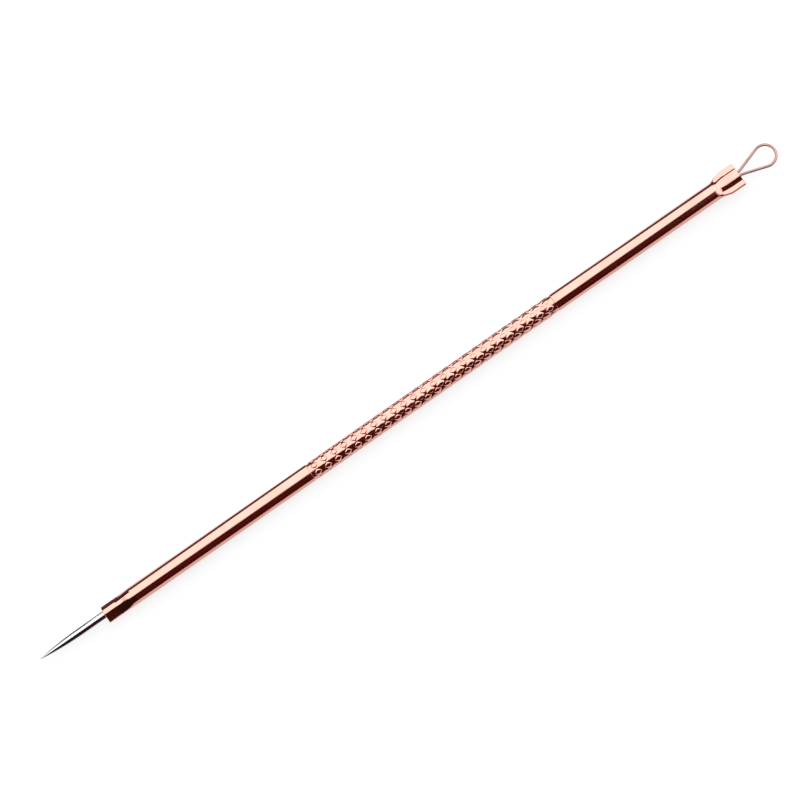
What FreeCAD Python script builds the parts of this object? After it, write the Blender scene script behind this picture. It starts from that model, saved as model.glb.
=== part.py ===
import FreeCAD, Part
import math
import os

# A double-ended blackhead extractor, lying along X with +Z up: needle at -X, wire loop at +X.
# The loop lies level, and the tube rests on z = 0 with its axis over the X axis. Millimetres, degrees.

# Stretches of the tool, from the needle's point to the far end of the loop
needle_exposed = 10.7
front_plain_length = 34.5
knurl_length = 40.0
rear_plain_length = 30.7
loop_reach = 6.1

# Handle tube
tube_diameter = 2.6
tube_wall = 0.25

# Pressed ends: a short stretch is pressed to its final section, and a run-out leads back to the round tube.
# Both seams lie level. The tube flattens over the shoulder, and spreads over the whole run-out.
press_flat_length = 1.9
press_runout_length = 2.2
press_fin_thickness = 0.5
press_clearance = 0.01
funnel_length = 1.5
runout_steps = 8
straight_share = 1e-6
fin_tip_angle = 14.0
fin_root_angle = 50.0

# Front press, over the needle: straight walls run from the needle's core to the two folded edges. It stays
# within the tube's outline, so that a cap slides on over it, and the needle sits a little to one side.
front_fin_inset = 0.02
front_shoulder_length = 2.2
front_core_wall = 0.28
front_core_offset = 0.15

# Rear press, over the two legs of the loop: a low ridge between two fins, set above the tube's axis
rear_fin_reach = 1.85
rear_seam_lift = 0.3
rear_shoulder_length = 1.0
rear_core_wall = 0.39
rear_core_side = 0.52

# Grip: staggered rings of shallow diamond-shaped dimples, slowly turning along the tube
knurl_ring_pitch = 0.82
knurl_columns = 7
knurl_start_angle = -10.3
knurl_twist = 0.38
dimple_length = 1.1
dimple_width = 0.8
dimple_depth = 0.11
dimple_rim_share = 1.3
barrel_seam_share = 0.25

# Needle
needle_diameter = 1.1
needle_shank_exposed = 4.0
needle_grip_length = 12.0
needle_back_diameter = 1.0
needle_tip_radius = 0.05
needle_end_chamfer = 0.1

# Wire loop
wire_diameter = 0.38
leg_spacing = 0.58
leg_grip_length = 8.0
neck_stub = 0.15
neck_bend_radius = 1.0
loop_bend_radius = 1.56
loop_offset = 0.01

# How far a cutting body stands past the face that it cuts
overrun = 0.05

# Places along the axis
tube_length = front_plain_length + knurl_length + rear_plain_length
overall_length = needle_exposed + tube_length + loop_reach
tip_x = -overall_length / 2
front_x = tip_x + needle_exposed
rear_x = front_x + tube_length
press_length = press_flat_length + press_runout_length
knurl_rings = int(knurl_length / knurl_ring_pitch)
column_step = 360 / knurl_columns

tube_radius = tube_diameter / 2
bore_radius = tube_radius - tube_wall
needle_radius = needle_diameter / 2
needle_back_radius = needle_back_diameter / 2
wire_radius = wire_diameter / 2
needle_bore_radius = needle_radius + press_clearance
leg_slot_radius = wire_radius + press_clearance
leg_height = leg_spacing / 2

Vector = FreeCAD.Vector
along_x = Vector(1, 0, 0)


def section_edges(reach, right_tip, right_root, crown, left_root, left_tip):
    """Start, middle and end of the eight edges of a pressed section, from the points above its seam.

    Points are (along the seam, across it), and the half below the seam mirrors the half above.
    """
    def halfway(a, b):
        return (a[0] + b[0]) / 2, (a[1] + b[1]) / 2

    def below(point):
        return point[0], -point[1]

    upper = [
        (right_tip, halfway(right_tip, right_root), right_root),
        (right_root, crown, left_root),
        (left_root, halfway(left_root, left_tip), left_tip),
    ]
    lower = [tuple(below(point) for point in reversed(edge)) for edge in reversed(upper)]
    left_fold = (left_tip, (-reach, 0), below(left_tip))
    right_fold = (below(right_tip), (reach, 0), right_tip)
    return upper + [left_fold] + lower + [right_fold]


def front_section():
    """A round core over the needle, with straight walls tangent to it and to both folded edges."""
    core = needle_radius + front_core_wall
    fold = press_fin_thickness / 2
    reach = tube_radius - front_fin_inset
    neck = reach - fold

    def wall(side):
        lean = math.acos((core - fold) / (neck - side * front_core_offset))
        along, across = side * math.cos(lean), math.sin(lean)
        tip = (side * neck + fold * along, fold * across)
        root = (front_core_offset + core * along, core * across)
        return tip, root

    right_tip, right_root = wall(1)
    left_tip, left_root = wall(-1)
    return section_edges(reach, right_tip, right_root, (front_core_offset, core), left_root, left_tip)


def rear_section():
    """A low ridge over the two legs, between two flat fins."""
    half = press_fin_thickness / 2
    neck = rear_fin_reach - half
    ridge = leg_height + leg_slot_radius + rear_core_side
    crown = (0, wire_radius + rear_core_wall)
    return section_edges(rear_fin_reach, (neck, half), (ridge, half), crown, (-ridge, half), (-neck, half))


def round_points(radius):
    """The same eight edges on the round tube."""
    stops = [fin_tip_angle, fin_root_angle, 180 - fin_root_angle, 180 - fin_tip_angle, 180 + fin_tip_angle,
             180 + fin_root_angle, 360 - fin_root_angle, 360 - fin_tip_angle, 360 + fin_tip_angle]

    def at(angle):
        turn = math.radians(angle)
        return radius * math.cos(turn), radius * math.sin(turn)

    return [(at(a), at((a + b) / 2), at(b)) for a, b in zip(stops, stops[1:])]


def section_wire(x, spread_share, flat_share, pressed, lift):
    """A section at x, between the round tube (shares 0) and the pressed form (shares 1)."""
    edges = []
    for round_edge, pressed_edge in zip(round_points(tube_radius), pressed):
        points = []
        for (u0, v0), (u1, v1) in zip(round_edge, pressed_edge):
            points.append(Vector(x, u0 + spread_share * (u1 - u0), v0 + flat_share * (v1 + lift - v0)))
        start, middle, end = points
        chord = end - start
        straight = (middle - start).cross(chord).Length < straight_share * chord.Length ** 2
        curve = Part.LineSegment(start, end) if straight else Part.Arc(start, middle, end)
        edges.append(curve.toShape())
    return Part.Wire(edges)


def ease(travel):
    """From 0 to 1, starting and ending gently."""
    return travel * travel * (3 - 2 * travel)


def pressed_end(end_x, inward, pressed, lift, shoulder_length):
    """One end of the tube: pressed stretch from end_x inwards, then the run-out to the round tube."""
    flat_x = end_x + inward * press_flat_length
    flat = Part.Face(section_wire(end_x, 1, 1, pressed, lift)).extrude(Vector(flat_x - end_x, 0, 0))
    wires = []
    for step in range(runout_steps + 1):
        travel = press_runout_length * step / runout_steps
        back = press_runout_length - travel
        spread_share = ease(back / press_runout_length)
        flat_share = ease(min(1, back / shoulder_length))
        wires.append(section_wire(flat_x + inward * travel, spread_share, flat_share, pressed, lift))
    return flat.fuse(Part.makeLoft(wires, True, False))


def ring_travel(ring):
    """How far behind the front edge of the grip the middle of a ring of dimples lies."""
    return dimple_length / 2 + ring * knurl_ring_pitch


def grip_turn(travel, columns):
    """The angle, from the top of the tube, of a place so many columns round the grip."""
    return knurl_start_angle + knurl_twist * travel + columns * column_step


def barrel_stretches():
    """The round barrel, with one short stretch for each pair of rings, so that no face holds many dimples.

    The seam line of each stretch is turned so that it passes between the corners of the dimples.
    """
    grip_x = front_x + front_plain_length
    pairs = range(0, knurl_rings + 1, 2)
    stops = [front_x + press_length]
    stops += [grip_x + ring_travel(ring) - knurl_ring_pitch / 2 for ring in pairs]
    stops.append(rear_x - press_length)
    stretches = []
    for start, stop in zip(stops, stops[1:]):
        stretch = Part.makeCylinder(tube_radius, stop - start, Vector(start, 0, 0), along_x)
        stretch.rotate(Vector(), along_x, grip_turn((start + stop) / 2 - grip_x, barrel_seam_share))
        stretches.append(stretch)
    return stretches


def tube_blank():
    """The tube's outside, with both ends pressed."""
    front_end = pressed_end(front_x, 1, front_section(), 0, front_shoulder_length)
    rear_end = pressed_end(rear_x, -1, rear_section(), rear_seam_lift, rear_shoulder_length)
    return front_end.fuse(barrel_stretches() + [rear_end])


def needle_axis():
    """The needle's place across the tube, on the seam of the front press."""
    return Vector(0, front_core_offset, 0)


def tube_hollow():
    """The bore, drawn in behind both presses to the needle and to the legs of the loop."""
    bore_start = front_x + press_length + funnel_length
    bore_end = rear_x - press_length - funnel_length
    bore = Part.makeCylinder(bore_radius, bore_end - bore_start, Vector(bore_start, 0, 0), along_x)
    front_cone = Part.makeCone(needle_bore_radius, bore_radius, funnel_length,
                               Vector(front_x + press_length, 0, 0), along_x)
    rear_cone = Part.makeCone(bore_radius, leg_slot_radius, funnel_length, Vector(bore_end, 0, 0), along_x)
    seat_start = Vector(front_x - overrun, 0, 0) + needle_axis()
    seat = Part.makeCylinder(needle_bore_radius, bore_start - seat_start.x, seat_start, along_x)
    slot_length = rear_x + overrun - bore_end
    legs = [Part.makeCylinder(leg_slot_radius, slot_length,
                              Vector(bore_end, side * leg_height, rear_seam_lift), along_x)
            for side in (-1, 1)]
    web = Part.makeBox(slot_length, leg_spacing, 2 * leg_slot_radius,
                       Vector(bore_end, -leg_height, rear_seam_lift - leg_slot_radius))
    return bore.fuse([seat, front_cone, rear_cone, web] + legs)


def dimple_cutter():
    """A four-sided point at the top of the tube, its rim carried on past the surface."""
    floor_z = tube_radius - dimple_depth
    half_width = dimple_width / 2
    side_rise = math.sqrt(tube_radius ** 2 - half_width ** 2) - floor_z
    bottom = Vector(0, 0, floor_z)
    ends = [Vector(side * dimple_rim_share * dimple_length / 2, 0, floor_z + dimple_rim_share * dimple_depth)
            for side in (-1, 1)]
    sides = [Vector(0, side * dimple_rim_share * half_width, floor_z + dimple_rim_share * side_rise)
             for side in (-1, 1)]
    corners = [(bottom, end, side) for end in ends for side in sides]
    corners += [(ends[0], ends[1], side) for side in sides]
    faces = [Part.Face(Part.makePolygon([a, b, c, a])) for a, b, c in corners]
    return Part.Solid(Part.Shell(faces))


def grip_dimples():
    """Cutters for the dimples, even rings and odd rings apart."""
    cutter = dimple_cutter()
    rings = ([], [])
    for ring in range(knurl_rings):
        travel = ring_travel(ring)
        for column in range(knurl_columns):
            dimple = cutter.copy()
            dimple.rotate(Vector(), along_x, grip_turn(travel, column + ring / 2))
            dimple.translate(Vector(front_x + front_plain_length + travel, 0, 0))
            rings[ring % 2].append(dimple)
    return rings


def handle_tube():
    tube = tube_blank()
    for ring_set in grip_dimples():
        tube = tube.cut(ring_set)
    return tube.cut(tube_hollow())


def lancet_needle():
    """A slightly tapered tang in the tube, a straight shank, then a long ogive to a finely rounded point."""
    ogive_start = front_x - needle_shank_exposed
    tip_end = tip_x + needle_tip_radius
    drop = needle_radius - needle_tip_radius
    run = ogive_start - tip_end
    bow_radius = (run ** 2 + drop ** 2) / (2 * drop)
    middle_run = run / 2
    middle_radius = needle_radius - bow_radius + math.sqrt(bow_radius ** 2 - middle_run ** 2)
    slant = math.radians(45)
    tip_middle = Vector(tip_end - needle_tip_radius * math.cos(slant), 0, needle_tip_radius * math.sin(slant))
    back_x = front_x + needle_grip_length
    corners = [
        Vector(tip_x, 0, 0),
        Vector(tip_end, 0, needle_tip_radius),
        Vector(ogive_start, 0, needle_radius),
        Vector(front_x, 0, needle_radius),
        Vector(back_x - needle_end_chamfer, 0, needle_back_radius),
        Vector(back_x, 0, needle_back_radius - needle_end_chamfer),
        Vector(back_x, 0, 0),
    ]
    ogive_middle = Vector(ogive_start - middle_run, 0, middle_radius)
    curves = [Part.Arc(corners[0], tip_middle, corners[1]), Part.Arc(corners[1], ogive_middle, corners[2])]
    curves += [Part.LineSegment(a, b) for a, b in zip(corners[2:], corners[3:] + corners[:1])]
    profile = Part.Face(Part.Wire([curve.toShape() for curve in curves]))
    needle = profile.revolve(Vector(), along_x, 360)
    needle.translate(needle_axis())
    return needle


def arc_about(centre, radius, start_angle, end_angle):
    """An arc in the level plane."""
    points = []
    for angle in (start_angle, (start_angle + end_angle) / 2, end_angle):
        turn = math.radians(angle)
        points.append(centre + Vector(radius * math.cos(turn), radius * math.sin(turn), 0))
    return Part.Arc(*points)


def leg_spread(height, run):
    """The angle at which a leg leaves its neck bend to meet the loop's bend in a tangent."""
    rise = height + neck_bend_radius
    swing = (loop_bend_radius + neck_bend_radius) / math.hypot(run, rise)
    return math.degrees(math.asin(swing) - math.atan2(rise, run))


def extractor_loop():
    """One wire: a leg, the neck bend, the teardrop, the other neck bend and the other leg."""
    neck_x = rear_x + neck_stub
    centre = Vector(overall_length / 2 - wire_radius - loop_bend_radius, loop_offset, 0)
    run = centre.x - neck_x
    upper = leg_spread(leg_height - loop_offset, run)
    lower = leg_spread(leg_height + loop_offset, run)
    upper_bend = arc_about(Vector(neck_x, leg_height + neck_bend_radius, 0), neck_bend_radius, -90, upper - 90)
    lower_bend = arc_about(Vector(neck_x, -leg_height - neck_bend_radius, 0), neck_bend_radius, 90 - lower, 90)
    bow = arc_about(centre, loop_bend_radius, 90 + upper, -90 - lower)
    leg_x = rear_x - leg_grip_length
    upper_leg = Part.LineSegment(Vector(leg_x, leg_height, 0), upper_bend.StartPoint)
    lower_leg = Part.LineSegment(lower_bend.EndPoint, Vector(leg_x, -leg_height, 0))
    upper_run = Part.LineSegment(upper_bend.EndPoint, bow.StartPoint)
    lower_run = Part.LineSegment(bow.EndPoint, lower_bend.StartPoint)
    path = [upper_leg, upper_bend, upper_run, bow, lower_run, lower_bend, lower_leg]
    spine = Part.Wire([curve.toShape() for curve in path])
    section = Part.Wire(Part.makeCircle(wire_radius, Vector(leg_x, leg_height, 0), along_x))
    loop = spine.makePipeShell([section], True, False)
    loop.translate(Vector(0, 0, rear_seam_lift))
    return loop


os.makedirs("parts", exist_ok=True)
for name, make in (("handle_tube", handle_tube), ("lancet_needle", lancet_needle),
                   ("extractor_loop", extractor_loop)):
    shape = make()
    shape.translate(Vector(0, 0, tube_radius))
    shape.exportStep("parts/" + name + ".step")
    print(name, shape.ShapeType, "solids", len(shape.Solids), "valid", shape.isValid(),
          "volume", round(shape.Volume, 3), shape.BoundBox)
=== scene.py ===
import math

import bmesh
import bpy
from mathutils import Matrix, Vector


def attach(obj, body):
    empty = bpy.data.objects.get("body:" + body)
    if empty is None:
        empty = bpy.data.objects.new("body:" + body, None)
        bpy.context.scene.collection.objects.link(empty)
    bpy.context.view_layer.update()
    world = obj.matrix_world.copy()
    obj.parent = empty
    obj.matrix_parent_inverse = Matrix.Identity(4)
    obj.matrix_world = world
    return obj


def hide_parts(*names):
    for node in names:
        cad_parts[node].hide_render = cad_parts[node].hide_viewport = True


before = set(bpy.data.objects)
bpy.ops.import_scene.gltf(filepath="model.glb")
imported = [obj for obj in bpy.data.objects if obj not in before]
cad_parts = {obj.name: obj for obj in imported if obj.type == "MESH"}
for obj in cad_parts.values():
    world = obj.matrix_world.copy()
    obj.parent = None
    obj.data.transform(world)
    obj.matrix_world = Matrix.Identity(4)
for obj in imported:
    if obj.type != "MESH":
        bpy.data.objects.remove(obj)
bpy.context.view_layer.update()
print("frame loaded:", ", ".join(sorted(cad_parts)))

mm = 0.001
axisHeight = 1.3 * mm  # the tube lies on the floor, so its axis is one radius up
mergeGap = 0.002 * mm


# Small tools

def clearSelection():
    if bpy.context.mode != "OBJECT":
        bpy.ops.object.mode_set(mode="OBJECT")
    bpy.ops.object.select_all(action="DESELECT")


def editOn(piece):
    clearSelection()
    piece.select_set(True)
    bpy.context.view_layer.objects.active = piece
    bpy.ops.object.mode_set(mode="EDIT")


def editOff():
    bpy.ops.object.mode_set(mode="OBJECT")


def pickVerts(piece, test):
    # in edit mode: selects the vertices that pass the test, and the edges and faces between them
    bpy.ops.mesh.select_mode(type="VERT")
    bpy.ops.mesh.select_all(action="DESELECT")
    bm = bmesh.from_edit_mesh(piece.data)
    for vert in bm.verts:
        vert.select = test(vert.co)
    bm.select_flush_mode()
    bmesh.update_edit_mesh(piece.data)


def applyPlace(piece):
    clearSelection()
    piece.select_set(True)
    bpy.context.view_layer.objects.active = piece
    bpy.ops.object.transform_apply(location=True, rotation=True, scale=True)


def applyModifier(piece, kind, **settings):
    bpy.context.view_layer.objects.active = piece
    modifier = piece.modifiers.new(kind.title(), kind)
    for name, value in settings.items():
        setattr(modifier, name, value)
    bpy.ops.object.modifier_apply(modifier=modifier.name)


def closeUp(piece, smoothAngle):
    # merges doubles, turns the faces outwards and shades the piece
    editOn(piece)
    bpy.ops.mesh.select_all(action="SELECT")
    bpy.ops.mesh.remove_doubles(threshold=mergeGap)
    bpy.ops.mesh.normals_make_consistent(inside=False)
    editOff()
    bpy.ops.object.shade_smooth_by_angle(angle=math.radians(smoothAngle))


def dress(piece, node, material):
    piece.data.materials.clear()
    piece.data.materials.append(material)
    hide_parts(node)
    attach(piece, "root")
    print(piece.name, "done:", len(piece.data.polygons), "faces")


# Materials

def addNode(tree, kind, place, **settings):
    node = tree.nodes.new(kind)
    node.location = place
    for name, value in settings.items():
        setattr(node, name, value)
    return node


drawnLook = {
    "stretch": (0.02, 1, 1), "lineDetail": 3.0, "lineShare": 0.35,
    "cloudDetail": 4.0, "cloudFrom": 0.4, "cloudTo": 0.75,
}


def makeDrawnMetalGroup():
    # fine lines along the piece, cloudy polish and a little dulling, for every metal here
    tree = bpy.data.node_groups.new("drawnMetal", "ShaderNodeTree")
    face = tree.interface
    for name, kind, value in (
        ("Colour", "NodeSocketColor", (0.8, 0.3, 0.24, 1)),
        ("Dull Colour", "NodeSocketColor", (0.6, 0.25, 0.2, 1)),
        ("Line Scale", "NodeSocketFloat", 9000.0),
        ("Cloud Scale", "NodeSocketFloat", 400.0),
        ("Polish", "NodeSocketFloat", 0.08),
        ("Dullness", "NodeSocketFloat", 0.1),
    ):
        socket = face.new_socket(name=name, in_out="INPUT", socket_type=kind)
        socket.default_value = value
    for name, kind in (("Colour", "NodeSocketColor"), ("Roughness", "NodeSocketFloat"),
                       ("Height", "NodeSocketFloat")):
        face.new_socket(name=name, in_out="OUTPUT", socket_type=kind)

    entry = addNode(tree, "NodeGroupInput", (-900, 0))
    leave = addNode(tree, "NodeGroupOutput", (700, 0))
    coords = addNode(tree, "ShaderNodeTexCoord", (-900, -300))
    stretch = addNode(tree, "ShaderNodeMapping", (-700, -300))
    stretch.inputs["Scale"].default_value = drawnLook["stretch"]
    lines = addNode(tree, "ShaderNodeTexNoise", (-500, -300))
    lines.inputs["Detail"].default_value = drawnLook["lineDetail"]
    clouds = addNode(tree, "ShaderNodeTexNoise", (-500, 100))
    clouds.inputs["Detail"].default_value = drawnLook["cloudDetail"]
    cloudMask = addNode(tree, "ShaderNodeMapRange", (-300, 100))
    cloudMask.inputs["From Min"].default_value = drawnLook["cloudFrom"]
    cloudMask.inputs["From Max"].default_value = drawnLook["cloudTo"]
    lineShare = addNode(tree, "ShaderNodeMath", (-300, -200), operation="MULTIPLY")
    lineShare.inputs[1].default_value = drawnLook["lineShare"]
    both = addNode(tree, "ShaderNodeMath", (-100, -50), operation="ADD", use_clamp=True)
    rough = addNode(tree, "ShaderNodeMath", (150, -100), operation="MULTIPLY_ADD")
    tint = addNode(tree, "ShaderNodeMix", (150, 200), data_type="RGBA")

    link = tree.links.new
    link(coords.outputs["Object"], stretch.inputs["Vector"])
    link(stretch.outputs["Vector"], lines.inputs["Vector"])
    link(entry.outputs["Line Scale"], lines.inputs["Scale"])
    link(coords.outputs["Object"], clouds.inputs["Vector"])
    link(entry.outputs["Cloud Scale"], clouds.inputs["Scale"])
    link(clouds.outputs["Fac"], cloudMask.inputs["Value"])
    link(lines.outputs["Fac"], lineShare.inputs[0])
    link(cloudMask.outputs["Result"], both.inputs[0])
    link(lineShare.outputs["Value"], both.inputs[1])
    link(both.outputs["Value"], rough.inputs[0])
    link(entry.outputs["Dullness"], rough.inputs[1])
    link(entry.outputs["Polish"], rough.inputs[2])
    link(both.outputs["Value"], tint.inputs["Factor"])
    link(entry.outputs["Colour"], tint.inputs["A"])
    link(entry.outputs["Dull Colour"], tint.inputs["B"])
    link(tint.outputs["Result"], leave.inputs["Colour"])
    link(rough.outputs["Value"], leave.inputs["Roughness"])
    link(lines.outputs["Fac"], leave.inputs["Height"])
    return tree


drawnMetal = makeDrawnMetalGroup()


def makeMetal(name, look):
    material = bpy.data.materials.new(name)
    material.use_nodes = True
    tree = material.node_tree
    shader = tree.nodes["Principled BSDF"]
    shader.inputs["Metallic"].default_value = 1.0
    shader.inputs["IOR"].default_value = look["ior"]
    finish = addNode(tree, "ShaderNodeGroup", (-500, 100), node_tree=drawnMetal)
    finish.inputs["Colour"].default_value = look["colour"]
    finish.inputs["Dull Colour"].default_value = look["dullColour"]
    finish.inputs["Line Scale"].default_value = look["lineScale"]
    finish.inputs["Cloud Scale"].default_value = look["cloudScale"]
    finish.inputs["Polish"].default_value = look["polish"]
    finish.inputs["Dullness"].default_value = look["dullness"]
    bump = addNode(tree, "ShaderNodeBump", (-250, -200))
    bump.inputs["Strength"].default_value = look["bump"]
    bump.inputs["Distance"].default_value = look["bumpDepth"]
    link = tree.links.new
    link(finish.outputs["Colour"], shader.inputs["Base Color"])
    link(finish.outputs["Roughness"], shader.inputs["Roughness"])
    link(finish.outputs["Height"], bump.inputs["Height"])
    link(bump.outputs["Normal"], shader.inputs["Normal"])
    return material


rosePlate = makeMetal("rosePlate", {
    "colour": (0.74, 0.36, 0.30, 1), "dullColour": (0.68, 0.32, 0.26, 1),
    "lineScale": 9000.0, "cloudScale": 350.0, "polish": 0.07, "dullness": 0.07,
    "bump": 0.15, "bumpDepth": 0.002 * mm, "ior": 1.5,
})
roseWire = makeMetal("roseWire", {
    "colour": (0.45, 0.255, 0.22, 1), "dullColour": (0.34, 0.185, 0.158, 1),
    "lineScale": 14000.0, "cloudScale": 900.0, "polish": 0.34, "dullness": 0.12,
    "bump": 0.2, "bumpDepth": 0.002 * mm, "ior": 1.5,
})
needleSteel = makeMetal("needleSteel", {
    "colour": (0.62, 0.62, 0.63, 1), "dullColour": (0.50, 0.50, 0.51, 1),
    "lineScale": 16000.0, "cloudScale": 700.0, "polish": 0.07, "dullness": 0.1,
    "bump": 0.2, "bumpDepth": 0.002 * mm, "ior": 2.5,
})
print("metals ready")


# Handle: a tile of the grip is modelled flat, repeated, rolled up and carried on to both pressed ends

grip = {
    "radius": 1.2998 * mm,
    "ringPitch": 0.82 * mm, "ringPairs": 24, "columns": 7,
    "firstRingX": -15.25 * mm, "firstRingAngle": -10.1, "twistPerMm": 0.38,
    "tileCuts": 3, "pickGap": 0.001, "smoothAngle": 38,
    "sink": 0.07,  # mm, like the heights of the steps
    # each step inwards from the tile's edge: size against the tile, height in mm, roundness
    "studSteps": ((0.90, -0.07, 0.1), (0.82, -0.067, 0.2), (0.71, -0.042, 0.25), (0.61, -0.010, 0.3),
                  (0.55, 0.0, 0.35), (0.27, 0.0, 0.5)),
    "plainStart": 0.12 * mm, "plainEase": 0.05 * mm,
}


def makeStudTile(columnPitch):
    # a square with rings of steps going up, then stretched to a lozenge that touches its neighbours
    clearSelection()
    bpy.ops.mesh.primitive_plane_add(size=2)
    tile = bpy.context.object
    editOn(tile)
    bpy.ops.mesh.select_all(action="SELECT")
    bpy.ops.mesh.subdivide(number_cuts=grip["tileCuts"])
    lastSize, lastHeight = 1.0, -grip["sink"]
    bpy.ops.transform.translate(value=(0, 0, lastHeight))
    for size, height, roundness in grip["studSteps"]:
        bpy.ops.mesh.inset(thickness=0)
        bpy.ops.transform.resize(value=(size / lastSize, size / lastSize, 1), center_override=(0, 0, 0))
        bpy.ops.transform.translate(value=(0, 0, height - lastHeight))
        lastSize, lastHeight = size, height
    for size, height, roundness in grip["studSteps"]:
        pickVerts(tile, lambda co: (abs(max(abs(co.x), abs(co.y)) - size) < grip["pickGap"]
                                    and abs(co.z - height) < grip["pickGap"]))
        bpy.ops.transform.tosphere(value=roundness)
    editOff()
    tile.rotation_euler.z = math.radians(45)
    applyPlace(tile)
    tile.scale = (grip["ringPitch"] / 2 ** 0.5, columnPitch / 2 / 2 ** 0.5, mm)
    applyPlace(tile)
    return tile


def makeGripSleeve():
    columnPitch = 2 * math.pi * grip["radius"] / grip["columns"]
    tile = makeStudTile(columnPitch)
    clearSelection()
    tile.select_set(True)
    bpy.ops.object.duplicate()
    second = bpy.context.object
    second.location = (grip["ringPitch"], columnPitch / 2, 0)
    tile.select_set(True)
    bpy.context.view_layer.objects.active = tile
    bpy.ops.object.join()
    applyModifier(tile, "ARRAY", count=grip["ringPairs"], use_relative_offset=False, use_constant_offset=True,
                  constant_offset_displace=(2 * grip["ringPitch"], 0, 0))
    applyModifier(tile, "ARRAY", count=grip["columns"], use_relative_offset=False, use_constant_offset=True,
                  constant_offset_displace=(0, columnPitch, 0))
    tile.rotation_euler.x = math.radians(90)
    applyPlace(tile)
    heights = [vert.co.z for vert in tile.data.vertices]
    reach = max(heights) - min(heights)
    applyModifier(tile, "SIMPLE_DEFORM", deform_method="BEND", deform_axis="X", angle=reach / grip["radius"])
    tile.location.y = -grip["radius"]
    applyPlace(tile)
    tile.rotation_euler.x = math.radians(grip["firstRingAngle"] - 90)
    applyPlace(tile)
    places = [vert.co.x for vert in tile.data.vertices]
    reach = max(places) - min(places)
    applyModifier(tile, "SIMPLE_DEFORM", deform_method="TWIST", deform_axis="X",
                  angle=math.radians(grip["twistPerMm"] * reach / mm))
    tile.location.x = grip["firstRingX"]
    applyPlace(tile)
    editOn(tile)
    bpy.ops.mesh.select_all(action="SELECT")
    bpy.ops.mesh.remove_doubles(threshold=mergeGap)
    editOff()
    return tile


ends = {
    "flatLength": 1.9 * mm, "runoutRings": 14,
    "tipAngle": 14, "rootAngle": 50,
    "wallSteps": 4, "crownSteps": 16, "foldSteps": 4,
    "edgeRound": 0.05 * mm, "boreDepth": 1.5 * mm,
}
frontPress = {
    "endX": -50.3 * mm, "inward": 1, "lift": 0.0, "runout": 3.0 * mm, "shoulder": 3.0 * mm,
    "reach": 1.28 * mm, "fold": 0.25 * mm, "coreOffset": 0.15 * mm, "core": 0.83 * mm,
    "boreReach": 1.05 * mm, "boreFold": 0.01 * mm, "boreCore": 0.56 * mm,
}
rearPress = {
    "endX": 54.9 * mm, "inward": -1, "lift": 0.3 * mm, "runout": 2.2 * mm, "shoulder": 1.0 * mm,
    "reach": 1.849 * mm, "fold": 0.25 * mm, "ridge": 1.03 * mm, "crown": 0.63 * mm,
    "boreReach": 1.6 * mm, "boreFold": 0.015 * mm, "boreRidge": 0.5 * mm, "boreCrown": 0.26 * mm,
}


def arcPoints(centre, radius, startAngle, stopAngle, count):
    # points along an arc, its last one left off
    points = []
    for step in range(count):
        angle = startAngle + (stopAngle - startAngle) * step / count
        points.append(Vector(centre) + radius * Vector((math.cos(angle), math.sin(angle))))
    return points


def linePoints(start, stop, count):
    return [start.lerp(stop, step / count) for step in range(count)]


def seamOutline(neck, fold, rightLean, leftLean, crown):
    # a pressed section: wall, crown, wall and fold above the seam, and the same below it
    half = math.pi / 2
    centre, radius, crownStart, crownStop = crown
    crownPoints = arcPoints(centre, radius, crownStart, crownStop, ends["crownSteps"])
    crownEnd = arcPoints(centre, radius, crownStop, crownStart, 1)[0]
    rightFold = arcPoints((neck, 0), fold, -rightLean, rightLean, ends["foldSteps"])
    leftFold = arcPoints((-neck, 0), fold, 2 * half - leftLean, 2 * half + leftLean, ends["foldSteps"])
    rightTip = Vector((rightFold[0].x, -rightFold[0].y))
    upper = linePoints(rightTip, crownPoints[0], ends["wallSteps"]) + crownPoints
    upper += linePoints(crownEnd, leftFold[0], ends["wallSteps"])
    lower = [Vector((point.x, -point.y)) for point in [leftFold[0]] + upper[:0:-1]]
    return upper + leftFold + lower + rightFold


def frontOutline(reach, fold, core):
    # straight walls, tangent to the needle's core and to both folds
    offset, neck = frontPress["coreOffset"], reach - fold
    rightLean = math.acos((core - fold) / (neck - offset))
    leftLean = math.acos((core - fold) / (neck + offset))
    return seamOutline(neck, fold, rightLean, leftLean, ((offset, 0), core, rightLean, math.pi - leftLean))


def rearOutline(reach, fold, ridge, crown):
    # a low ridge between two flat fins
    half = math.pi / 2
    rise = crown - fold
    bow = (ridge ** 2 + rise ** 2) / (2 * rise)
    sweep = math.atan2(ridge, bow - rise)
    return seamOutline(reach - fold, fold, half, half, ((0, crown - bow), bow, half - sweep, half + sweep))


def roundOutline():
    # the same points where the tube is still round
    tip, root = ends["tipAngle"], ends["rootAngle"]
    stops = [tip, root, 180 - root, 180 - tip, 180 + tip, 180 + root, 360 - root, 360 - tip, 360 + tip]
    counts = [ends["wallSteps"], ends["crownSteps"], ends["wallSteps"], ends["foldSteps"]] * 2
    points = []
    for start, stop, count in zip(stops, stops[1:], counts):
        points += arcPoints((0, 0), grip["radius"], math.radians(start), math.radians(stop), count)
    return points


def ringAngle(place, lift):
    return math.atan2(place[1] - lift, place[0]) % (2 * math.pi)


def pushRing(tube, outline, x, lift=0.0, lastLift=0.0):
    # extrudes the picked end ring and lays its points, in turn, on the outline at x
    bpy.ops.mesh.extrude_edges_move(TRANSFORM_OT_translate={"value": (0, 0, 0)})
    bm = bmesh.from_edit_mesh(tube.data)
    picked = [vert for vert in bm.verts if vert.select]
    ring = sorted(picked, key=lambda vert: ringAngle(vert.co.yz, lastLift))
    points = sorted(outline, key=lambda point: ringAngle(point, 0))
    for vert, point in zip(ring, points):
        vert.co = (x, point.x, point.y + lift)
    bmesh.update_edit_mesh(tube.data)


def ease(travel):
    travel = min(1, travel)
    return travel * travel * (3 - 2 * travel)


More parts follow.
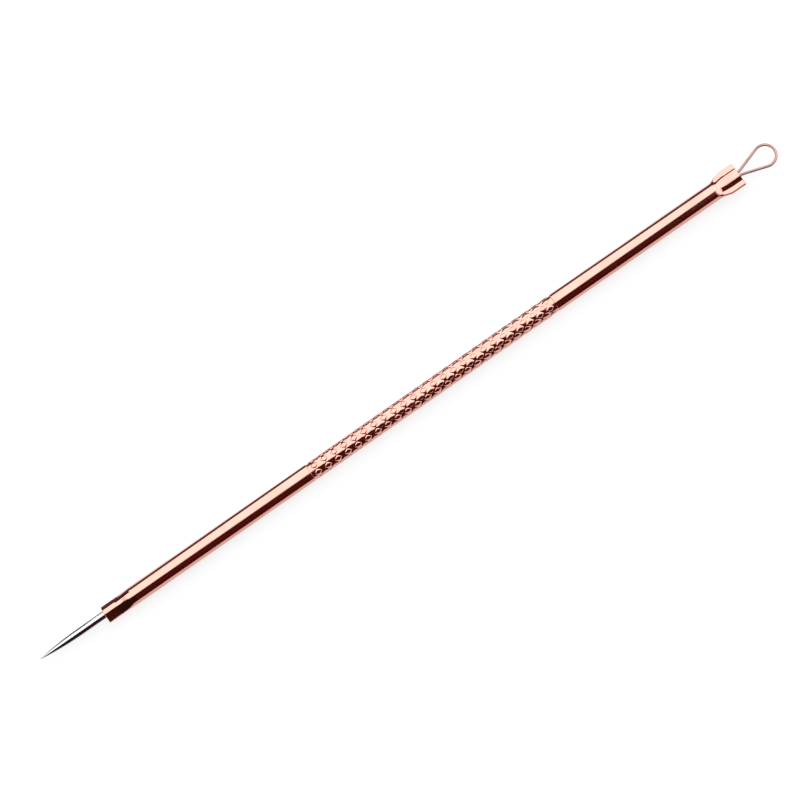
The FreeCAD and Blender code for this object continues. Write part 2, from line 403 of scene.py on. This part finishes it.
def pressEnd(tube, press, pressed, smaller, bore):
    inward, lift = press["inward"], press["lift"]
    plain = roundOutline()
    roundX = press["endX"] + inward * (ends["flatLength"] + press["runout"])
    pushRing(tube, plain, roundX)
    lastLift = 0.0
    for step in range(1, ends["runoutRings"] + 1):
        travel = press["runout"] * step / ends["runoutRings"]
        spread, flat = ease(travel / press["runout"]), ease(travel / press["shoulder"])
        outline = [Vector((a.x + spread * (b.x - a.x), a.y + flat * (b.y - a.y)))
                   for a, b in zip(plain, pressed)]
        pushRing(tube, outline, roundX - inward * travel, flat * lift, lastLift)
        lastLift = flat * lift
    pushRing(tube, pressed, press["endX"] + inward * ends["edgeRound"], lift, lift)
    pushRing(tube, smaller, press["endX"], lift, lift)
    pushRing(tube, bore, press["endX"], lift, lift)
    pushRing(tube, bore, press["endX"] + inward * ends["boreDepth"], lift, lift)
    bpy.ops.mesh.edge_face_add()


def pressFront(tube):
    press, edge = frontPress, ends["edgeRound"]
    pressEnd(tube, press, frontOutline(press["reach"], press["fold"], press["core"]),
             frontOutline(press["reach"] - edge, press["fold"] - edge, press["core"] - edge),
             frontOutline(press["boreReach"], press["boreFold"], press["boreCore"]))


def pressRear(tube):
    press, edge = rearPress, ends["edgeRound"]
    pressEnd(tube, press, rearOutline(press["reach"], press["fold"], press["ridge"], press["crown"]),
             rearOutline(press["reach"] - edge, press["fold"] - edge, press["ridge"], press["crown"] - edge),
             rearOutline(press["boreReach"], press["boreFold"], press["boreRidge"], press["boreCrown"]))


def makeHandle():
    tube = makeGripSleeve()
    tube.name = tube.data.name = "handleTube"
    print("grip rolled up:", len(tube.data.polygons), "faces")
    xs = [vert.co.x for vert in tube.data.vertices]
    for pressOn, endX, outward in ((pressFront, min(xs), -1), (pressRear, max(xs), 1)):
        editOn(tube)
        bpy.ops.mesh.select_mode(type="EDGE")
        bpy.ops.mesh.select_all(action="DESELECT")
        bpy.ops.mesh.select_non_manifold()
        bm = bmesh.from_edit_mesh(tube.data)
        for edge in bm.edges:
            if abs(edge.verts[0].co.x - endX) > 2 * grip["ringPitch"]:
                edge.select = False
        bm.select_flush_mode()
        stop = endX + outward * grip["plainStart"]
        bpy.ops.mesh.extrude_edges_move(TRANSFORM_OT_translate={"value": (0, 0, 0)})
        bpy.ops.transform.resize(value=(0, 1, 1), center_override=(stop, 0, 0))
        widen = grip["radius"] / (grip["radius"] - grip["sink"] * mm)
        bpy.ops.mesh.extrude_edges_move(TRANSFORM_OT_translate={"value": (outward * grip["plainEase"], 0, 0)})
        bpy.ops.transform.resize(value=(1, widen, widen), center_override=(stop, 0, 0))
        pressOn(tube)
        editOff()
    tube.location.z = axisHeight
    applyPlace(tube)
    closeUp(tube, grip["smoothAngle"])
    return tube


handleTube = makeHandle()
dress(handleTube, "handle_tube", rosePlate)


# Needle: a ring drawn out along the shank and in to the point

needle = {
    "tipX": -60.999 * mm, "ogiveX": -54.3 * mm, "frontX": -50.3 * mm, "backX": -38.3 * mm,
    "radius": 0.55 * mm, "backRadius": 0.5 * mm, "tipRadius": 0.05 * mm,
    "offset": 0.15 * mm, "sides": 40, "ogiveSteps": 20, "tipSteps": 5, "endBevel": 0.1 * mm,
    "pointRadius": 0.0004 * mm, "smoothAngle": 40,
}


def makeNeedle():
    clearSelection()
    bpy.ops.mesh.primitive_circle_add(vertices=needle["sides"], radius=needle["backRadius"] - needle["endBevel"],
                                      fill_type="NGON", rotation=(0, math.radians(90), 0))
    piece = bpy.context.object
    piece.name = piece.data.name = "lancetNeedle"
    piece.location.x = needle["backX"]
    applyPlace(piece)
    tipEnd = needle["tipX"] + needle["tipRadius"]
    run = needle["ogiveX"] - tipEnd
    drop = needle["radius"] - needle["tipRadius"]
    bow = (run ** 2 + drop ** 2) / (2 * drop)
    stops = [(needle["backX"] - needle["endBevel"], needle["backRadius"]),
             (needle["frontX"], needle["radius"]), (needle["ogiveX"], needle["radius"])]
    for step in range(1, needle["ogiveSteps"] + 1):
        travel = run * step / needle["ogiveSteps"]
        stops.append((needle["ogiveX"] - travel, needle["radius"] - bow + math.sqrt(bow ** 2 - travel ** 2)))
    for step in range(1, needle["tipSteps"]):
        angle = math.radians(90) * step / needle["tipSteps"]
        stops.append((tipEnd - needle["tipRadius"] * math.sin(angle), needle["tipRadius"] * math.cos(angle)))
    stops.append((needle["tipX"], needle["pointRadius"]))
    editOn(piece)
    bpy.ops.mesh.select_all(action="SELECT")
    x, radius = needle["backX"], needle["backRadius"] - needle["endBevel"]
    for nextX, nextRadius in stops:
        bpy.ops.mesh.extrude_region_move(TRANSFORM_OT_translate={"value": (nextX - x, 0, 0)})
        scale = nextRadius / radius
        bpy.ops.transform.resize(value=(1, scale, scale), center_override=(nextX, 0, 0))
        x, radius = nextX, nextRadius
    bpy.ops.mesh.merge(type="CENTER")
    editOff()
    piece.location = (0, needle["offset"], axisHeight)
    applyPlace(piece)
    closeUp(piece, needle["smoothAngle"])
    return piece


lancetNeedle = makeNeedle()
dress(lancetNeedle, "lancet_needle", needleSteel)


# Loop: one wire drawn along a leg, round the neck, out, round the bow and back

wire = {
    "radius": 0.19 * mm, "sides": 16,
    "legHeight": 0.29 * mm, "legX": 46.9 * mm, "neckX": 55.05 * mm,
    "neckRadius": 1.0 * mm, "bowRadius": 1.56 * mm, "endX": 60.999 * mm, "bowOffset": 0.01 * mm,
    "lift": 0.3 * mm, "neckSteps": 8, "bowSteps": 40, "smoothAngle": 40,
}


def legSpread(height, run):
    rise = height + wire["neckRadius"]
    swing = (wire["bowRadius"] + wire["neckRadius"]) / math.hypot(run, rise)
    return math.asin(swing) - math.atan2(rise, run)


def drawTo(target, start):
    bpy.ops.mesh.extrude_region_move(TRANSFORM_OT_translate={"value": target - start})


def spinRing(centre, angle, steps):
    bpy.ops.mesh.spin(steps=steps, angle=-angle, center=centre, axis=(0, 0, 1))  # spin turns clockwise


def makeLoop():
    clearSelection()
    bpy.ops.mesh.primitive_circle_add(vertices=wire["sides"], radius=wire["radius"], fill_type="NGON",
                                      rotation=(0, math.radians(90), 0))
    piece = bpy.context.object
    piece.name = piece.data.name = "extractorLoop"
    piece.location = (wire["legX"], wire["legHeight"], 0)
    applyPlace(piece)
    bowCentre = Vector((wire["endX"] - wire["radius"] - wire["bowRadius"], wire["bowOffset"], 0))
    run = bowCentre.x - wire["neckX"]
    upper = legSpread(wire["legHeight"] - wire["bowOffset"], run)
    lower = legSpread(wire["legHeight"] + wire["bowOffset"], run)
    upperNeck = Vector((wire["neckX"], wire["legHeight"] + wire["neckRadius"], 0))
    lowerNeck = Vector((wire["neckX"], -wire["legHeight"] - wire["neckRadius"], 0))

    def onBend(centre, radius, angle):
        return centre + radius * Vector((math.cos(angle), math.sin(angle), 0))

    quarter = math.radians(90)
    editOn(piece)
    bpy.ops.mesh.select_all(action="SELECT")
    drawTo(onBend(upperNeck, wire["neckRadius"], -quarter), Vector((wire["legX"], wire["legHeight"], 0)))
    spinRing(upperNeck, upper, wire["neckSteps"])
    drawTo(onBend(bowCentre, wire["bowRadius"], quarter + upper),
           onBend(upperNeck, wire["neckRadius"], upper - quarter))
    spinRing(bowCentre, -(2 * quarter + upper + lower), wire["bowSteps"])
    drawTo(onBend(lowerNeck, wire["neckRadius"], quarter - lower),
           onBend(bowCentre, wire["bowRadius"], -quarter - lower))
    spinRing(lowerNeck, lower, wire["neckSteps"])
    drawTo(Vector((wire["legX"], -wire["legHeight"], 0)), onBend(lowerNeck, wire["neckRadius"], quarter))
    editOff()
    piece.location.z = axisHeight + wire["lift"]
    applyPlace(piece)
    closeUp(piece, wire["smoothAngle"])
    return piece


extractorLoop = makeLoop()
dress(extractorLoop, "extractor_loop", roseWire)


# Floor, flags, light and camera

studio = {
    "floorSize": 6.0, "floorColour": (0.9, 0.9, 0.9, 1),
    "floorLift": 0.8, "liftColour": (0.975, 0.975, 0.975, 1),
    "ambient": 0.8,
    "panelAngle": 123, "panelDistance": 0.6, "panelWidth": 1.2, "panelStart": -0.58, "panelEnd": 1.0,
    "panelRadiance": 1.26,
    # cards that show only in the metal: dark on the near side, low on the far side and past the needle,
    # bright past the loop
    "tubeCard": {"x": (-0.073, 0.105), "floor": -0.009, "colour": (0.06, 0.010, 0.008, 1), "streak": 1.9},
    "needleCard": {"x": (-0.13, -0.073), "floor": -0.009, "colour": (0.024, 0.011, 0.010, 1), "streak": 1.3},
    "sideCard": {"x": (-1.5, -0.13), "floor": -0.009, "colour": (0.024, 0.010, 0.009, 1), "streak": 1.3},
    "nearDistance": 0.2, "nearBend": 38, "nearTop": 71,
    # underNeedle is a painted shadow: a dark card on the floor by the needle, seen only in the metal, in place
    # of the shaded floor
    "underNeedle": {"x": (-0.08, -0.0505), "floor": -0.0018, "colour": (0.03, 0.03, 0.03, 1), "streak": 1.0},
    "farCard": {"x": (-0.06, 0.1), "floor": 0.0054, "top": 0.020, "colour": (0.10, 0.070, 0.070, 1),
                "streak": 1.2},
    "farNeedle": {"x": (-0.1, -0.06), "floor": 0.003, "top": 0.048, "colour": (0.04, 0.04, 0.042, 1),
                  "streak": 1.0},
    "farDistance": 0.06,
    "darkEnd": {"x": -0.60, "y": (-0.7, 0.7), "z": (0.0, 0.9), "colour": (0.09, 0.05, 0.045, 1), "streak": 1.2},
    "brightEnd": {"x": 0.75, "y": (-0.8, 0.4), "z": (0.03, 0.9), "colour": (2.1, 2.1, 2.04, 1), "streak": 1.05},
    "cardLift": 0.0001, "streakStart": 0.3, "streakMiddle": 0.55, "streakEnd": 0.8,
}
shot = {
    "tilt": 16, "roll": -34.82, "lens": 150.0, "sensorWidth": 36.0, "width": 109.1 * mm, "clipStart": 0.01,
    "shiftRight": -1.130 * mm, "shiftUp": 0.617 * mm,
}


def seenRays(tree):
    # 1 for the camera and for what shows in the metal, 0 for the light that falls on things
    path = addNode(tree, "ShaderNodeLightPath", (-800, 300))
    glossy = addNode(tree, "ShaderNodeMath", (-600, 300), operation="MAXIMUM")
    clear = addNode(tree, "ShaderNodeMath", (-400, 300), operation="MAXIMUM")
    tree.links.new(path.outputs["Is Camera Ray"], glossy.inputs[0])
    tree.links.new(path.outputs["Is Glossy Ray"], glossy.inputs[1])
    tree.links.new(glossy.outputs["Value"], clear.inputs[0])
    tree.links.new(path.outputs["Is Transmission Ray"], clear.inputs[1])
    return clear.outputs["Value"]


def makeFloor():
    clearSelection()
    bpy.ops.mesh.primitive_plane_add(size=studio["floorSize"])
    floor = bpy.context.object
    floor.name = "floor"
    material = bpy.data.materials.new("paleFloor")
    material.use_nodes = True
    tree = material.node_tree
    tree.nodes.clear()
    matte = addNode(tree, "ShaderNodeBsdfDiffuse", (-200, 100))
    matte.inputs["Color"].default_value = studio["floorColour"]
    lift = addNode(tree, "ShaderNodeEmission", (-200, -100))
    lift.inputs["Color"].default_value = studio["liftColour"]
    rays = seenRays(tree)
    share = addNode(tree, "ShaderNodeMath", (-200, 300), operation="MULTIPLY")
    share.inputs[1].default_value = studio["floorLift"]
    mix = addNode(tree, "ShaderNodeMixShader", (50, 0))
    out = addNode(tree, "ShaderNodeOutputMaterial", (250, 0))
    tree.links.new(rays, share.inputs[0])
    tree.links.new(share.outputs["Value"], mix.inputs["Fac"])
    tree.links.new(matte.outputs["BSDF"], mix.inputs[1])
    tree.links.new(lift.outputs["Emission"], mix.inputs[2])
    tree.links.new(mix.outputs["Shader"], out.inputs["Surface"])
    floor.data.materials.append(material)


def makeWorld():
    world = bpy.data.worlds.new("studioWorld")
    bpy.context.scene.world = world
    world.use_nodes = True
    tree = world.node_tree
    back = tree.nodes["Background"]
    back.inputs["Color"].default_value = (1, 1, 1, 1)
    strength = addNode(tree, "ShaderNodeMapRange", (-200, 0))
    strength.inputs["To Min"].default_value = studio["ambient"]
    tree.links.new(seenRays(tree), strength.inputs["Value"])
    tree.links.new(strength.outputs["Result"], back.inputs["Strength"])


def makePanel():
    # the big soft light over the far side, carried on past the needle end
    length = studio["panelEnd"] - studio["panelStart"]
    light = bpy.data.lights.new("softPanel", "AREA")
    light.shape = "RECTANGLE"
    light.size = length
    light.size_y = studio["panelWidth"]
    light.energy = studio["panelRadiance"] * math.pi * length * studio["panelWidth"]
    lamp = bpy.data.objects.new("softPanel", light)
    bpy.context.scene.collection.objects.link(lamp)
    angle = math.radians(studio["panelAngle"])
    lamp.location = ((studio["panelStart"] + studio["panelEnd"]) / 2,
                     -studio["panelDistance"] * math.cos(angle), studio["panelDistance"] * math.sin(angle))
    lamp.rotation_euler.x = math.radians(90) - angle
    lamp.visible_camera = False


def makeCard(name, card, start, moves):
    # a strip that only reflections see: its first edge between two points, then drawn on move by move
    clearSelection()
    bpy.ops.mesh.primitive_plane_add(size=1)
    piece = bpy.context.object
    piece.name = name
    editOn(piece)
    bpy.ops.mesh.select_all(action="SELECT")
    bpy.ops.mesh.delete(type="ONLY_FACE")
    pickVerts(piece, lambda co: co.y > 0)
    bpy.ops.mesh.delete(type="VERT")
    bm = bmesh.from_edit_mesh(piece.data)
    for vert in bm.verts:
        vert.co = start[0] if vert.co.x < 0 else start[1]
        vert.select = True
    bm.select_flush_mode()
    bmesh.update_edit_mesh(piece.data)
    for move in moves:
        bpy.ops.mesh.extrude_edges_move(TRANSFORM_OT_translate={"value": move})
    editOff()
    material = bpy.data.materials.new(name)
    material.use_nodes = True
    tree = material.node_tree
    tree.nodes.clear()
    # a paler streak halfway up, so that the reflection is not one flat tone
    coords = addNode(tree, "ShaderNodeTexCoord", (-800, 0))
    split = addNode(tree, "ShaderNodeSeparateXYZ", (-600, 0))
    height = addNode(tree, "ShaderNodeMath", (-400, 0), operation="MULTIPLY")
    height.inputs[1].default_value = 1 / studio["nearDistance"]
    streak = addNode(tree, "ShaderNodeValToRGB", (-200, -200))
    streak.color_ramp.interpolation = "EASE"
    plain = (1, 1, 1, 1)
    streak.color_ramp.elements[0].position = studio["streakStart"]
    streak.color_ramp.elements[0].color = plain
    streak.color_ramp.elements[1].position = studio["streakEnd"]
    streak.color_ramp.elements[1].color = plain
    middle = streak.color_ramp.elements.new(studio["streakMiddle"])
    middle.color = (card["streak"],) * 3 + (1,)
    shade = addNode(tree, "ShaderNodeMix", (100, 0), data_type="RGBA", blend_type="MULTIPLY")
    shade.inputs["Factor"].default_value = 1.0
    shade.inputs["A"].default_value = card["colour"]
    glow = addNode(tree, "ShaderNodeEmission", (300, 0))
    out = addNode(tree, "ShaderNodeOutputMaterial", (500, 0))
    tree.links.new(coords.outputs["Object"], split.inputs["Vector"])
    tree.links.new(split.outputs["Z"], height.inputs[0])
    tree.links.new(height.outputs["Value"], streak.inputs["Fac"])
    tree.links.new(streak.outputs["Color"], shade.inputs["B"])
    tree.links.new(shade.outputs["Result"], glow.inputs["Color"])
    tree.links.new(glow.outputs["Emission"], out.inputs["Surface"])
    piece.data.materials.append(material)
    piece.visible_camera = False
    piece.visible_diffuse = False
    piece.visible_shadow = False
    piece.visible_transmission = False


def nearSide(angle):
    # a place on the near side, so many degrees up from the floor
    turn = math.radians(angle)
    return Vector((0, -studio["nearDistance"] * math.cos(turn), studio["nearDistance"] * math.sin(turn)))


def makeSideCard(name, card, edges):
    # a card along the tool, from edge to edge
    start = [Vector((x, edges[0].y, edges[0].z)) for x in card["x"]]
    makeCard(name, card, start, [after - before for before, after in zip(edges, edges[1:])])


def makeEndCard(name, card):
    # an upright card across the tool
    start = [Vector((card["x"], y, card["z"][0])) for y in card["y"]]
    makeCard(name, card, start, [Vector((0, 0, card["z"][1] - card["z"][0]))])


def makeCards():
    lift = Vector((0, 0, studio["cardLift"]))
    for name in ("tubeCard", "needleCard", "sideCard"):
        card = studio[name]
        makeSideCard(name, card, (lift + Vector((0, card["floor"], 0)), lift + nearSide(0),
                                  nearSide(studio["nearBend"]), nearSide(studio["nearTop"])))
    # painted shadow: a dark card by the needle that the needle reflects in place of the shaded floor
    under = studio["underNeedle"]
    makeSideCard("underNeedle", under, (2 * lift + Vector((0, under["floor"], 0)),
                                        2 * lift + Vector((0, studio["tubeCard"]["floor"], 0))))
    for name in ("farCard", "farNeedle"):
        card = studio[name]
        farEdge = lift + Vector((0, studio["farDistance"], 0))
        makeSideCard(name, card, (lift + Vector((0, card["floor"], 0)), farEdge,
                                  farEdge + Vector((0, 0, card["top"]))))
    makeEndCard("darkEnd", studio["darkEnd"])
    makeEndCard("brightEnd", studio["brightEnd"])


def makeCamera():
    view = bpy.data.cameras.new("shotCamera")
    view.lens = shot["lens"]
    view.sensor_width = shot["sensorWidth"]
    view.clip_start = shot["clipStart"]
    camera = bpy.data.objects.new("shotCamera", view)
    bpy.context.scene.collection.objects.link(camera)
    camera.rotation_mode = "ZYX"
    camera.rotation_euler = (math.radians(shot["tilt"]), 0, math.radians(shot["roll"]))
    turn = camera.rotation_euler.to_matrix()
    distance = shot["width"] * shot["lens"] / view.sensor_width
    aim = Vector((0, 0, axisHeight))
    aim += turn @ Vector((shot["shiftRight"], shot["shiftUp"], 0))
    camera.location = aim + turn @ Vector((0, 0, distance))
    bpy.context.scene.camera = camera


makeFloor()
makeWorld()
makePanel()
makeCards()
makeCamera()
bpy.context.scene.view_settings.view_transform = "Standard"
print("studio ready")
